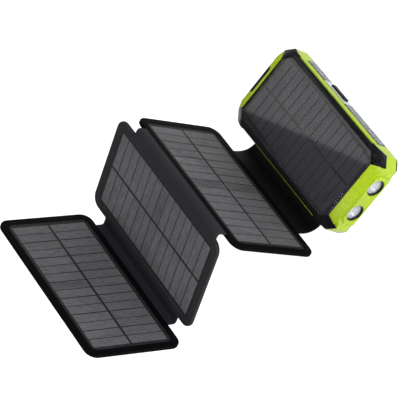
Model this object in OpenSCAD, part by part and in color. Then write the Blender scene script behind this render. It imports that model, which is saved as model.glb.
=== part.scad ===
// Fold-out solar power bank: a power bank with a solar top and two flashlights,
// and three leather-bound solar panels that fold out of it on flexible leather strips.
// Frame: origin at the middle of the power bank's back, +Z out of its solar top,
// +X to the flashlight end, +Y to the silver side strip. The panels lead away to -Y.

/* [Power bank body] */
// Length of the body, without the lamp boss and port cover
body_len = 146; // [130:1:200]
// Width of the body
body_w = 75; // [66:1:100]
// Height of the body, from its back to the rim of the bezel
body_h = 21; // [20:0.5:30]
// Legs of the diagonal cut at the upright corners
corner_cut = 7; // [5:0.5:9]
// Wall of the green frame
wall = 2.4; // [2:0.1:3]
// Thickness of the back cover
back_t = 1.6; // [1.4:0.1:1.8]
// Thickness of the black bezel
bezel_t = 1.2; // [1:0.1:1.8]
// Legs of the diagonal at each inner corner of the case, where the case screws bite
screw_block = 14; // [13:0.5:18]
// Chamfer round the back edge
back_chamfer = 1.2; // [0.6:0.1:1.4]

/* [Solar top] */
// Distance from the solar window to the body's ends, before it is shifted
end_margin = 8.5; // [7.5:0.1:12]
// Distance from the solar window to the body's sides
side_margin = 5.3; // [4.5:0.1:7]
// Legs of the diagonal cut at the window's corners
top_cut = 6; // [4:0.5:9]
// Distance of the window's centre from the body's centre, towards the port end
top_shift = 1.5; // [0:0.1:3]
// Fall of the bezel over its long sides
side_fall = 1.6; // [1:0.1:2.5]
// Fall of the frame from the window to the lamp end
lamp_end_fall = 3; // [1.5:0.1:3]
// Fall of the frame from the window to the port end
port_end_fall = 1.6; // [1:0.1:3]
// Slope of the four corner facets, in degrees
facet_slope = 31.5; // [20:0.5:36]
// Depth of the laminate's face below the bezel's rim
top_sink = 0.3; // [0.1:0.1:0.6]

/* [Flashlights] */
// Distance between the two lamps
lamp_pitch = 25.3; // [20:0.1:34]
// Outer diameter of a lamp ring
lamp_d = 15; // [12:0.2:15.2]
// Height of the lamps' centres above the back
lamp_z = 9.6; // [9.5:0.1:12]
// Depth of a lamp's bore, from the face of the boss
lamp_depth = 11; // [9:0.5:13]
// How far the boss round the lamps stands out of the end
boss_out = 1.4; // [0.8:0.1:2]

/* [Side strip and button] */
// Length of the ribbed silver strip
trim_len = 104; // [90:1:120]
// Height of the strip
trim_h = 9.5; // [8:0.5:11]
// Height of the strip's centre above the back
trim_z = 7.8; // [7:0.1:9]
// How far the strip stands out of the body
trim_out = 0.8; // [0.4:0.1:1.2]
// Depth of the strip's recess in the frame
trim_sink = 1.2; // [0.8:0.1:1.4]
// Distance between two ribs
rib_pitch = 2.2; // [1.6:0.1:4]
// Distance between the strip's two screws
trim_screw_pitch = 74; // [68:1:84]
// Length of the plate round the button, in the strip
plate_len = 30; // [28:1:34]
// Distance of the plate and the button from the strip's middle, towards the port end
plate_shift = 12; // [0:0.5:14]
// Length of the push button
button_len = 19; // [10:0.5:22]
// Height of the push button
button_h = 4.4; // [3:0.1:5]
// Travel of the push button
button_travel = 0.5; // [0.3:0.1:0.6]

/* [Ports] */
// Width of the port opening and its rubber cover
port_w = 40; // [40:0.5:48]
// Height of the port opening
port_h = 10.5; // [9:0.5:12]
// Height of the ports' centre above the back
port_z = 8.5; // [8:0.1:11]
// How far the rubber cover stands out of the body
cover_out = 1; // [0.8:0.1:1.4]
// Height of the rubber cover's sloping shoulders
cover_shoulder = 3.1; // [2:0.1:4]

/* [Folding panels] */
// Length of a panel, along the fold lines
panel_len = 155; // [120:1:220]
// Width of a panel, across the fold lines
panel_w = 85; // [60:1:120]
// Thickness of a panel
panel_t = 3.2; // [3.2:0.1:5]
// Radius of a panel's corners
panel_r = 9; // [5:0.5:14]
// Leather border round a panel's solar window
border = 6; // [4:0.5:10]
// Radius of the solar window's corners
window_r = 5.5; // [3:0.5:9]
// Distance that panel 2 is set off along the fold lines, towards the port end
panel_2_shift = 8; // [0:0.5:8]
// Rows of cells along a panel
cell_rows = 15; // [8:1:20]
// Gap between two cells
cell_gap = 0.9; // [0.4:0.1:1.5]

/* [Leather strips] */
// Thickness of a leather strip
strip_t = 1.2; // [0.8:0.1:1.6]
// Length of the spine's leather, along the fold lines
spine_strip = 100; // [80:1:116]
// Length of the strip between panels 1 and 2
strip_1_2_len = 125; // [90:1:132]
// Length of the strip between panels 2 and 3
strip_2_3_len = 117; // [90:1:124]
// Length of the spine, from the power bank to the first panel
spine_len = 23.5; // [23:0.5:40]
// Leather between the fold line and panel 1 on the spine
edge_gap = 1.2; // [1:0.1:2]
// Leather from panel 1 to the second fold line
fold_2_lead = 4.5; // [4:0.5:14]
// Leather from the second fold line to panel 2
fold_2_tail = 3.5; // [3.5:0.5:10]
// Leather from panel 2 to the third fold line
fold_3_lead = 6; // [4:0.5:12]
// Leather from the third fold line to panel 3
fold_3_tail = 6; // [4:0.5:10]
// Gap between two panels that are folded together
stack_gap = 0.6; // [0.4:0.1:1.5]

/* [Rest pose] */
// Elevation of panel 1, leading away from the power bank
rise_1 = 81; // [0:1:170]
// Elevation of panel 2
rise_2 = -24.5; // [-80:0.5:80]
// Elevation of panel 3
rise_3 = 70; // [0:0.5:90]

/* [Hidden] */
$fn = 48;

green = "#a9d21e";
black = "#17171a";
leather = "#26262a";
silver = "#c9ccd0";
cell_grey = "#4b4b50";
board_green = "#1f4a2c";

fit = 0.1;             // clearance of a glued or snapped joint
slip = 0.3;            // clearance of a piece that moves
big = 400;             // longer than the whole object

// Power bank
half_len = body_len / 2;
half_w = body_w / 2;
top_len = body_len - 2 * end_margin;
top_w = body_w - 2 * side_margin;
window_gap = 0.25;                         // gap between the laminate and the bezel
top_far = top_len / 2 + window_gap;        // half length of the bezel's window
top_side = top_w / 2 + window_gap;         // half width of the bezel's window
board_z = body_h - top_sink - 2.5;         // underside of the solar board in the top
board_t = 1.2;
cell_t = 0.3;
deck_t = 1.4;                              // deck of the frame under the solar board
cavity_top = board_z - deck_t;
cavity_h = cavity_top - back_t;
corner_zone = 11;                          // length of the wider bezel at each corner
side_step = 1;                             // how far the bezel is set in between the corners
end_strip = 0.9;                           // width of the bezel at the window's short ends
end_green = 7;                             // start of the green ends from the window's corners
end_flare = 5.6;                           // how much wider they get at the end
lamp_wall = 2;                             // wall behind the lamps
boss_face = half_len + boss_out;
lamp_back = boss_face - lamp_depth;        // bottom of the lamp bores
cavity_near = lamp_back - lamp_wall;       // end of the cavity at the lamp end
cavity_far = -half_len + wall;
lamp_r = lamp_d / 2;
ring_t = 3;
ring_wall = 0.6;
ring_sink = 0.5;                           // the ring's face below the face of the boss
lens_t = 1.2;
lens_sink = 2.4;                           // the lens's face below the face of the boss
lens_r = lamp_r - ring_wall - fit;
lamp_board_t = 1.2;
led_side = 3.4;
led_t = 1.6;
led_hole_r = led_side * 0.8;
reflector_wall = 0.5;
reflector_depth = lamp_depth - lamp_board_t - lens_t - lens_sink;
wire_r = 1.5;                              // hole for a lamp's wires
boss_root = 1;                             // length of the boss inside the end wall
boss_margin = 3;                           // boss beyond the lamps
boss_cut = 4;                              // height of the boss's diagonal
case_screw_inset = 7.5;
case_screw_x = half_len - case_screw_inset;
case_screw_y = half_w - case_screw_inset;
screw_r = 0.9;
screw_head_r = 1.9;
screw_head_t = 1;
screw_sink = 0.3;
case_screw_len = 8;

// Side strip
strip_face = half_w + trim_out;
recess_floor = half_w - trim_sink;
rib_h = 0.6;
plate_sink = 0.2;                          // the plate's face below the ribs
button_z = trim_z - 1.7;
button_proud = 1;
flange = 1;                                // lip that keeps the button in the frame
flange_t = 0.8;
pipe_z = trim_z + 2.9;
pipe_r = 0.75;
pipe_pitch = 4;
trim_screw_r = 0.95;
trim_screw_head_r = 2.1;
trim_screw_head_t = 0.9;
trim_boss_r = 2.6;
trim_boss_len = 2.8;
inner_side = half_w - wall;
trim_head_y = recess_floor + 0.9;          // seat of the strip's screw heads
trim_screw_tip = inner_side - trim_boss_len + 0.4;
cross_len = 2.6;                           // cross recess in the screw heads
cross_w = 0.5;
cross_depth = 0.4;
button_board_t = 1;
button_board_y = inner_side - 3.6;         // face of the button's board that carries the switch
switch_body = 4.5;
switch_h = 3.7;
switch_t = 1.6;                            // height of the switch with its plunger
stem_r = 1.2;
pipe_near = button_board_y + 0.5;          // inner end of the light pipes
board_margin = 4;                          // button board beyond the button

// Ports
fascia_t = 1.4;
fascia_face = -half_len + 1.6;
usb_w = 13.1;
usb_h = 5.7;
usb_depth = 14;
usb_wall = 0.35;
tongue_w = 11;
tongue_t = 1.8;
micro_w = 7.4;
micro_h = 2.9;
micro_depth = 5.5;
usb_1_y = -10.6;
usb_2_y = 4;
micro_y = 14.9;
pcb_t = 1.6;
pcb_top = port_z - usb_h / 2;
pcb_len = 24;
pcb_w = 41;
pcb_far = fascia_face + fascia_t + fit;    // edge of the main board behind the fascia
coil_len = 5;
coil_w = 8;
coil_h = 4.4;
coil_pitch = 24;
socket_sink = 0.2;                         // the sockets' mouths behind the fascia's face
micro_wall = 0.4;
cover_t = 2.2;
cover_knuckle_r = cover_t / 2;
cover_x = -half_len - cover_out + cover_knuckle_r;
cover_y = -port_w / 2 + slip + cover_knuckle_r;
cover_side = port_w / 2 - slip;
cover_low = port_z - port_h / 2 + slip;
cover_lip = 3.9;                           // depth of the lip over the frame's edge
lip_x = cover_x - cover_knuckle_r + cover_lip;
lip_sink = 0.2;                            // the lip below the slope of the port end
lip_t = 2;
lip_low = port_end_z(lip_x) - lip_sink - lip_t;
cover_top = port_end_z(lip_x) + fit;
cover_peak = port_w / 4;                   // half width of the cover at its top
cover_gap = 0.4;                           // gap round the cover in the frame

// Battery
pouch_gap = 1.5;
pad_t = 0.8;
pouch_far = pcb_far + pcb_len + 1.5;
wire_slot_len = 5;                         // slot in the deck for the top board's wires
wire_slot_w = 6;
pouch_w = 2 * (button_board_y - button_board_t - 0.6);
pouch_near = cavity_near - pouch_gap - max(0, screw_block - (2 * inner_side - pouch_w) / 2);
pouch_t = (cavity_h - 3 * pad_t) / 2;

// Height of the port end's slope at a place along X
function port_end_z(x) = body_h
    - port_end_fall * (-top_shift - top_far - x) / (half_len - top_shift - top_far);

// Folding chain: each point is [y, z], each angle an elevation that leads away from the body
fold_off = (panel_t + stack_gap) / 2;      // height of a fold line off the panels' middle plane
spine_rise = rise_1 / 2;
spine_axis = [-half_w - 1, strip_t / 2 + 1];
function away(rise) = [-cos(rise), sin(rise)];
function face(rise) = [sin(rise), cos(rise)];
panel_1_axis = spine_axis + spine_len * away(spine_rise);
fold_2_axis = panel_1_axis + (edge_gap + panel_w + fold_2_lead) * away(rise_1)
    - fold_off * face(rise_1);
fold_3_axis = fold_2_axis + (fold_2_tail + panel_w + fold_3_lead) * away(rise_2)
    + 2 * fold_off * face(rise_2);
strip_2_3_shift = 5;                       // set-off of the last strip, towards the port end
ribbon_w = 12;
ribbon_t = 0.3;
tab_w = 12;                                // leather bonded under the power bank
tab_t = 0.9;

// Layers of a panel, from its back
leather_t = 0.7;
stiffener_t = 0.8;
panel_board_t = 0.8;
panel_cell_t = 0.2;
panel_back = -panel_t / 2;
stiffener_z = panel_back + leather_t;
panel_board_z = stiffener_z + stiffener_t;
panel_cell_z = panel_board_z + panel_board_t;
laminate_z = panel_cell_z + panel_cell_t;
laminate_top = panel_t / 2 - 0.2;
hem = 3;                                   // leather outside the stiffener
lip = 1.5;                                 // front leather over the edge of the solar board
cell_margin = 3;                           // laminate outside the cells
bus_gap = 2.2;                             // gap between the two columns of cells
bend_margin = 0.4;                         // straight leather left beside a bend
steps = 16;                                // facets of a bend

// ---------------------------------------------------------------- plain shapes

module cut_rect(length, width, cut) {
    a = length / 2;
    b = width / 2;
    polygon([[a, b - cut], [a - cut, b], [cut - a, b], [-a, b - cut],
             [-a, cut - b], [cut - a, -b], [a - cut, -b], [a, cut - b]]);
}

module round_rect(length, width, r) {
    square([length - 2 * r, width], center = true);
    square([length, width - 2 * r], center = true);
    for (x = [r - length / 2, length / 2 - r])
        for (y = [r - width / 2, width / 2 - r])
            translate([x, y]) circle(r);
}

// A flat outline drawn in (y, z), pulled along X over the given length
module pull_x(length) {
    rotate([90, 0, 90]) linear_extrude(length, center = true) children();
}

// A flat outline drawn in (x, z), pulled along Y over the given length
module pull_y(length) {
    rotate([90, 0, 0]) linear_extrude(length, center = true) children();
}

module rod_x(r, length) {
    rotate([0, 90, 0]) cylinder(r = r, h = length);
}

module rod_y(r, length) {
    rotate([-90, 0, 0]) cylinder(r = r, h = length);
}

// ---------------------------------------------------------------- power bank shells

module body_outline(inset = 0) {
    cut_rect(body_len - 2 * inset, body_w - 2 * inset, corner_cut - inset * (2 - sqrt(2)));
}

module window_outline(grow = 0) {
    translate([-top_shift, 0]) cut_rect(top_len + 2 * grow, top_w + 2 * grow, top_cut);
}

// The four corner facets: one prism for each diagonal, cut to the slope at both ends
module facet_prism(turn, top) {
    facet = (top_len / 2 + top_w / 2 - top_cut) / sqrt(2) + window_gap;
    low = top - (body_len - facet) * tan(facet_slope);
    translate([-top_shift, 0, 0]) rotate([0, 0, turn]) pull_y(big) polygon([
        [-body_len, low - big], [body_len, low - big], [body_len, low], [facet, top],
        [-facet, top], [-body_len, low]]);
}

// The outer form of the power bank, its top lowered by drop
module body_form(drop = 0) {
    top = body_h - drop;
    far = -top_shift - top_far;
    near = -top_shift + top_far;
    intersection() {
        linear_extrude(body_h) body_outline();
        pull_x(big) polygon([
            [back_chamfer - half_w, 0], [half_w - back_chamfer, 0], [half_w, back_chamfer],
            [half_w, top - side_fall], [top_side, top], [-top_side, top],
            [-half_w, top - side_fall], [-half_w, back_chamfer]]);
        pull_y(big) polygon([
            [back_chamfer - half_len, 0], [half_len - back_chamfer, 0], [half_len, back_chamfer],
            [half_len, top - lamp_end_fall], [near, top], [far, top],
            [-half_len, top - port_end_fall], [-half_len, back_chamfer]]);
        facet_prism(45, top);
        facet_prism(-45, top);
    }
}

// The green part of each end, between the black corners
module green_ends() {
    near = -top_shift + top_far + end_strip;
    far = -top_shift - top_far - end_strip;
    inner = top_side - end_green;
    outer = inner + end_flare;
    polygon([[near, -inner], [half_len + 1, -outer], [half_len + 1, outer], [near, inner]]);
    polygon([[far, -inner], [-half_len - 1, -outer], [-half_len - 1, outer], [far, inner]]);
}

module lamp_places() {
    for (side = [-1, 1]) translate([0, side * lamp_pitch / 2, lamp_z]) children();
}

module case_screw_places() {
    for (x = [-case_screw_x, case_screw_x])
        for (y = [-case_screw_y, case_screw_y])
            translate([x, y, 0]) children();
}

module trim_screw_places() {
    for (side = [-1, 1]) translate([side * trim_screw_pitch / 2, 0, trim_z]) children();
}

module pipe_places() {
    for (i = [0:3]) translate([(i - 1.5) * pipe_pitch - plate_shift, 0, pipe_z]) children();
}

// Hole that the button slides in, from a given place along Y outwards
module button_hole(start) {
    translate([-plate_shift - button_len / 2 - slip, start, button_z - button_h / 2 - slip])
        cube([button_len + 2 * slip, big, button_h + 2 * slip]);
}

// Recess of the port cover in (y, z), open through the top edge of the frame
module cover_recess() {
    side = cover_side + cover_gap;
    low = cover_low - cover_gap;
    shoulder = cover_top - cover_shoulder + cover_gap;
    lean = (side - cover_peak) / cover_shoulder;
    polygon([[-side, low], [side, low], [side, shoulder], [cover_peak - lean, cover_top + cover_gap + 1],
             [lean - cover_peak, cover_top + cover_gap + 1], [-side, shoulder]]);
}

module cavity_outline() {
    length = cavity_near - cavity_far;
    translate([(cavity_near + cavity_far) / 2, 0])
        cut_rect(length, body_w - 2 * wall, screw_block);
}

// Raised boss round the lamps: a trapezoid on the end face
module lamp_boss() {
    low = lamp_pitch / 2 + lamp_r + boss_margin;
    high = low - boss_margin;
    base = back_t + fit;
    top = lamp_z + lamp_r + fit;
    translate([half_len - boss_root, 0, 0]) rotate([90, 0, 90])
        linear_extrude(boss_out + boss_root)
            polygon([[-low, base], [low, base], [low, top - boss_cut], [high, top], [-high, top],
                     [-low, top - boss_cut]]);
}

module back_cover() color(black) difference() {
    intersection() {
        body_form();
        translate([-big / 2, -big / 2, 0]) cube([big, big, back_t]);
    }
    case_screw_places() {
        cylinder(r = screw_r + fit, h = big, center = true);
        translate([0, 0, -1]) cylinder(r = screw_head_r + fit, h = 1 + screw_sink + screw_head_t);
    }
    translate([-spine_strip / 2 - fit, -half_w - 1, -1])
        cube([spine_strip + 2 * fit, tab_w + 1 + fit, 1 + tab_t]);
}

module mid_frame() color(green) difference() {
    union() {
        difference() {
            body_form(bezel_t);
            translate([-big / 2, -big / 2, -1]) cube([big, big, 1 + back_t]);
            translate([0, 0, back_t - 1]) linear_extrude(cavity_h + 1) cavity_outline();
        }
        intersection() {
            body_form();
            translate([0, 0, cavity_top]) linear_extrude(big) green_ends();
        }
        lamp_boss();
        trim_screw_places() translate([0, inner_side - trim_boss_len, 0])
            rod_y(trim_boss_r, trim_boss_len + 0.5);
    }
    translate([0, 0, board_z]) linear_extrude(big) window_outline(window_gap);
    translate([pouch_far - wire_slot_len - 1, -wire_slot_w / 2, cavity_top - 1])
        cube([wire_slot_len, wire_slot_w, big]);
    // flashlights
    lamp_places() {
        translate([lamp_back, 0, 0]) rod_x(lamp_r + fit, big);
        translate([cavity_near - 1, 0, 0]) rod_x(wire_r, lamp_wall + 2);
    }
    // side strip, button and light pipes
    translate([-trim_len / 2 - fit, recess_floor, trim_z - trim_h / 2 - fit])
        cube([trim_len + 2 * fit, big, trim_h + 2 * fit]);
    trim_screw_places() translate([0, inner_side - trim_boss_len - 1, 0])
        rod_y(trim_screw_r + fit / 2, big);
    button_hole(inner_side - 1);
    pipe_places() translate([0, inner_side - 1, 0]) rod_y(pipe_r + fit, big);
    // ports
    translate([cover_x + cover_knuckle_r + slip - big / 2, 0, 0]) pull_x(big) cover_recess();
    intersection() {
        translate([lip_x + slip - big / 2, 0, 0]) pull_x(big) cover_recess();
        translate([-big / 2, -big / 2, lip_low - slip]) cube(big);
    }
    translate([-half_len - 1, -port_w / 2, port_z - port_h / 2]) cube([wall + 2, port_w, port_h]);
    // case screws
    case_screw_places() cylinder(r = screw_r + fit / 2, h = back_t + case_screw_len + 0.5);
}

module top_bezel() color(black) difference() {
    intersection() {
        body_form();
        linear_extrude(big) difference() {
            body_outline();
            green_ends();
            for (side = [-1, 1])
                translate([-top_shift - top_far + corner_zone, side * half_w - side_step])
                    square([2 * (top_far - corner_zone), 2 * side_step]);
        }
    }
    body_form(bezel_t);
    linear_extrude(big) window_outline(window_gap);
}

// ---------------------------------------------------------------- solar top

module cell_grid(length, width, rows, thick) {
    step_x = length / rows;
    step_y = (width - bus_gap) / 2;
    for (i = [0:rows - 1])
        for (side = [-1, 1])
            translate([(i - (rows - 1) / 2) * step_x, side * (width + bus_gap) / 4, thick / 2])
                cube([step_x - cell_gap, step_y, thick], center = true);
}

module top_solar_board() color(board_green)
    translate([0, 0, board_z]) linear_extrude(board_t) window_outline();

module top_solar_cells() color(cell_grey) translate([-top_shift, 0, board_z + board_t])
    cell_grid(top_len - 2 * cell_margin, top_w - 2 * cell_margin, cell_rows, cell_t);

module top_laminate() color([0.5, 0.5, 0.55, 0.4])
    translate([0, 0, board_z + board_t + cell_t])
        linear_extrude(body_h - top_sink - board_z - board_t - cell_t) window_outline();

// ---------------------------------------------------------------- flashlights

module lamp_boards() color("white") lamp_places() translate([lamp_back, 0, 0])
    rod_x(lamp_r - fit, lamp_board_t);

module lamp_leds() color("#f4e27a") lamp_places()
    translate([lamp_back + lamp_board_t, -led_side / 2, -led_side / 2])
        cube([led_t, led_side, led_side]);

module lamp_reflectors() color("#e8e8ea") lamp_places()
    translate([lamp_back + lamp_board_t, 0, 0]) rotate([0, 90, 0]) difference() {
        cylinder(r = lens_r, h = reflector_depth);
        translate([0, 0, led_t])
            cylinder(r1 = led_hole_r, r2 = lens_r - reflector_wall, h = reflector_depth - led_t + 0.01);
        translate([0, 0, -1]) cylinder(r = led_hole_r, h = reflector_depth);
    }

module lamp_lenses() color([0.9, 0.95, 1, 0.35]) lamp_places()
    translate([lamp_back + lamp_board_t + reflector_depth, 0, 0])
        rod_x(lens_r, lens_t);

module lamp_rings() color(silver) lamp_places()
    translate([boss_face - ring_sink - ring_t, 0, 0]) rotate([0, 90, 0]) difference() {
        cylinder(r = lamp_r, h = ring_t);
        translate([0, 0, -1]) cylinder(r = lamp_r - ring_wall, h = big);
    }

// ---------------------------------------------------------------- side strip and button

module side_trim() color(silver) difference() {
    union() {
        translate([-trim_len / 2, recess_floor, trim_z - trim_h / 2])
            cube([trim_len, strip_face - rib_h - recess_floor, trim_h]);
        for (x = [-trim_len / 2 : rib_pitch : trim_len / 2 - rib_pitch / 2])
            translate([x, strip_face - rib_h - 0.1, trim_z - trim_h / 2])
                cube([rib_pitch / 2, rib_h + 0.1, trim_h]);
    }
    translate([-plate_shift - plate_len / 2 - fit, 0, 0]) cube([plate_len + 2 * fit, big, big]);
    trim_screw_places() translate([0, recess_floor - 1, 0]) {
        rod_y(trim_screw_r + fit, big);
        translate([0, trim_head_y - recess_floor + 1, 0]) rod_y(trim_screw_head_r + fit, big);
    }
}

module trim_screws() color("#9a9ca0") trim_screw_places() difference() {
    union() {
        translate([0, trim_screw_tip, 0]) rod_y(trim_screw_r, trim_head_y + 0.1 - trim_screw_tip);
        translate([0, trim_head_y, 0]) rod_y(trim_screw_head_r, trim_screw_head_t);
    }
    for (turn = [0, 90]) rotate([0, turn, 0])
        translate([-cross_len / 2, trim_head_y + trim_screw_head_t - cross_depth, -cross_w / 2])
            cube([cross_len, 2, cross_w]);
}

module button_plate() color("#d4d6d8") difference() {
    translate([-plate_shift - plate_len / 2, recess_floor, trim_z - trim_h / 2])
        cube([plate_len, strip_face - plate_sink - recess_floor, trim_h]);
    button_hole(0);
    pipe_places() rod_y(pipe_r + fit, big);
}

module power_button() color(black) translate([-plate_shift, 0, 0]) {
    translate([-button_len / 2, inner_side - 0.1, button_z - button_h / 2])
        cube([button_len, strip_face + button_proud - inner_side + 0.1, button_h]);
    translate([-button_len / 2 - flange, inner_side - slip - flange_t, button_z - button_h / 2 - flange])
        cube([button_len + 2 * flange, flange_t, button_h + 2 * flange]);
    translate([0, button_board_y + switch_t + 0.1, button_z])
        rod_y(stem_r, inner_side - button_board_y - switch_t);
}

module light_pipes() color([0.9, 0.95, 1, 0.5]) pipe_places()
    translate([0, pipe_near, 0]) rod_y(pipe_r, strip_face - plate_sink - pipe_near);

module button_board() color(board_green)
    translate([-plate_shift - button_len / 2 - board_margin, button_board_y - button_board_t,
               back_t + pad_t + 0.4])
        cube([button_len + 2 * board_margin, button_board_t, pipe_z + 1.5 - back_t - pad_t]);

module tact_switch() color("#3a3a3e")
    translate([-plate_shift - switch_body / 2, button_board_y, button_z - switch_h / 2])
        cube([switch_body, switch_t - button_travel - 0.2, switch_h]);

// ---------------------------------------------------------------- ports

module port_fascia() color(black) difference() {
    translate([fascia_face, -port_w / 2 + fit, port_z - port_h / 2 + fit])
        cube([fascia_t, port_w - 2 * fit, port_h - 2 * fit]);
    for (y = [usb_1_y, usb_2_y])
        translate([fascia_face - 1, y - usb_w / 2 - fit, port_z - usb_h / 2 - fit])
            cube([fascia_t + 2, usb_w + 2 * fit, usb_h + 2 * fit]);
    translate([fascia_face - 1, micro_y - micro_w / 2 - fit, pcb_top - fit])
        cube([fascia_t + 2, micro_w + 2 * fit, micro_h + 2 * fit]);
}

module usb_shells() color("#b8babd") for (y = [usb_1_y, usb_2_y])
    translate([fascia_face + socket_sink, y - usb_w / 2, port_z - usb_h / 2]) difference() {
        cube([usb_depth, usb_w, usb_h]);
        translate([-1, usb_wall, usb_wall])
            cube([usb_depth, usb_w - 2 * usb_wall, usb_h - 2 * usb_wall]);
    }

module usb_tongues() color("#1a4fa0") for (y = [usb_1_y, usb_2_y])
    translate([fascia_face + 1.2, y - tongue_w / 2, port_z + usb_h / 2 - usb_wall - tongue_t])
        cube([usb_depth - 2, tongue_w, tongue_t]);

module micro_usb_socket() color("#b8babd")
    translate([fascia_face + socket_sink, micro_y - micro_w / 2, pcb_top]) difference() {
        cube([micro_depth, micro_w, micro_h]);
        translate([-1, micro_wall, micro_wall])
            cube([micro_depth, micro_w - 2 * micro_wall, micro_h - 2 * micro_wall]);
    }

module port_cover() color(black) {
    outer = cover_x - cover_knuckle_r;
    inner = cover_x + cover_knuckle_r;
    shoulder = cover_top - cover_shoulder;
    translate([cover_x, cover_y, cover_low]) cylinder(r = cover_knuckle_r, h = shoulder - cover_low);
    intersection() {
        pull_x(big) polygon([[cover_y, cover_low], [cover_side, cover_low], [cover_side, shoulder],
                             [cover_peak, cover_top], [-cover_peak, cover_top], [cover_y, shoulder]]);
        pull_y(big) polygon([
            [outer, -1], [inner, -1], [inner, lip_low], [lip_x, lip_low],
            [lip_x, port_end_z(lip_x) - lip_sink], [-half_len, port_end_z(-half_len) - lip_sink],
            [outer, port_end_z(-half_len) - lip_sink - cover_out]]);
    }
}

// ---------------------------------------------------------------- inside

module main_board() color(board_green)
    translate([pcb_far, -pcb_w / 2, pcb_top - pcb_t]) cube([pcb_len, pcb_w, pcb_t]);

module power_coils() color("#3c3c40") for (side = [-1, 1])
    translate([pcb_far + pcb_len - coil_len - 1, side * coil_pitch / 2 - coil_w / 2, pcb_top])
        cube([coil_len, coil_w, coil_h]);

module battery_cells() color("#8f959c") for (i = [0, 1])
    translate([pouch_far, -pouch_w / 2, back_t + pad_t + i * (pouch_t + pad_t)])
        cube([pouch_near - pouch_far, pouch_w, pouch_t]);

module foam_pads() color("#5a5a5e") for (i = [0:2])
    translate([pouch_far + 2, 2 - pouch_w / 2, back_t + i * (pouch_t + pad_t)])
        cube([pouch_near - pouch_far - 4, pouch_w - 4, pad_t]);

module case_screws() color("#9a9ca0") case_screw_places() difference() {
    union() {
        translate([0, 0, screw_sink]) cylinder(r = screw_head_r, h = screw_head_t);
        translate([0, 0, screw_sink])
            cylinder(r = screw_r, h = back_t + case_screw_len - screw_sink);
    }
    for (turn = [0, 90]) rotate([0, 0, turn])
        translate([-cross_len / 2, -cross_w / 2, screw_sink + cross_depth - 1])
            cube([cross_len, cross_w, 1]);
}

// ---------------------------------------------------------------- folding chain

// Puts a piece drawn flat, leading to -Y from its fold line, at its place in the chain
module on_link(axis, rise, lift = 0) {
    translate([0, axis[0], axis[1]]) rotate([-rise, 0, 0]) translate([0, 0, lift]) children();
}

module on_panel(n) {
    if (n == 1) on_link(panel_1_axis, rise_1) translate([0, -edge_gap - panel_w / 2, 0]) children();
    if (n == 2) on_link(fold_2_axis, rise_2, fold_off)
        translate([-panel_2_shift, -fold_2_tail - panel_w / 2, 0]) children();
    if (n == 3) on_link(fold_3_axis, rise_3, -fold_off)
        translate([0, -fold_3_tail - panel_w / 2, 0]) children();
}

module spine_tab() color(leather) translate([-spine_strip / 2, -half_w + back_chamfer, 0])
    cube([spine_strip, tab_w - back_chamfer, tab_t - fit / 2]);

module spine_leather() color(leather) on_link(spine_axis, spine_rise) difference() {
    translate([-spine_strip / 2, edge_gap - spine_len, -strip_t / 2])
        cube([spine_strip, spine_len - 2 * edge_gap, strip_t]);
    translate([-ribbon_w / 2 - fit, -spine_len, -ribbon_t / 2 - fit])
        cube([ribbon_w + 2 * fit, spine_len, ribbon_t + 2 * fit]);
}

module spine_ribbon() color("#c8813c") on_link(spine_axis, spine_rise)
    translate([-ribbon_w / 2, edge_gap - spine_len, -ribbon_t / 2])
        cube([ribbon_w, spine_len - 2 * edge_gap, ribbon_t]);

// A leather strip bent round a fold line: straight, a round bend, straight.
// lead and tail are its flat lengths before and after the fold line, and turn is the bend
// in degrees, positive towards the solar side. It starts at the origin and leads to -Y.
module bent_strip(length, lead, tail, turn) {
    tip = fold_off * tan(abs(turn) / 2);
    before = lead + tip;
    after = tail + tip;
    grip = min(before, after) - bend_margin;
    bend_r = grip / tan(abs(turn) / 2);
    up = sign(turn);
    // a point on the bend, side millimetres to the solar side of the middle of the leather
    function bend(i, side) = let (a = abs(turn) * i / steps, r = bend_r - up * side)
        [grip - before - r * sin(a), up * (bend_r - r * cos(a))];
    last = (after - grip) * [-cos(turn), sin(turn)];
    half = strip_t / 2;
    pull_x(length) polygon(concat(
        [[0, half]], [for (i = [0:steps]) bend(i, half)], [bend(steps, half) + last],
        [bend(steps, -half) + last], [for (i = [steps:-1:0]) bend(i, -half)], [[0, -half]]));
}

module strip_1_2() color(leather) on_link(panel_1_axis, rise_1)
    translate([0, -edge_gap - panel_w, 0])
        bent_strip(strip_1_2_len, fold_2_lead, fold_2_tail, rise_2 - rise_1);

module strip_2_3() color(leather) on_link(fold_2_axis, rise_2, fold_off)
    translate([-strip_2_3_shift, -fold_2_tail - panel_w, 0])
        bent_strip(strip_2_3_len, fold_3_lead, fold_3_tail, rise_3 - rise_2);

// ---------------------------------------------------------------- panels

module panel_back(n) color(leather) on_panel(n) {
    translate([0, 0, panel_back]) linear_extrude(leather_t) round_rect(panel_len, panel_w, panel_r);
    translate([0, 0, stiffener_z]) linear_extrude(stiffener_t) difference() {
        round_rect(panel_len, panel_w, panel_r);
        round_rect(panel_len - 2 * hem, panel_w - 2 * hem, panel_r - hem);
    }
}

module panel_stiffener(n) color("#b9a98a") on_panel(n) translate([0, 0, stiffener_z])
    linear_extrude(stiffener_t)
        round_rect(panel_len - 2 * hem - fit, panel_w - 2 * hem - fit, panel_r - hem);

module panel_board(n) color(board_green) on_panel(n) translate([0, 0, panel_board_z])
    linear_extrude(panel_board_t)
        round_rect(panel_len - 2 * border + 2 * lip, panel_w - 2 * border + 2 * lip, window_r);

module panel_cells(n) color(cell_grey) on_panel(n) translate([0, 0, panel_cell_z])
    cell_grid(panel_len - 2 * border - 2 * cell_margin, panel_w - 2 * border - 2 * cell_margin,
        cell_rows, panel_cell_t);

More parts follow.
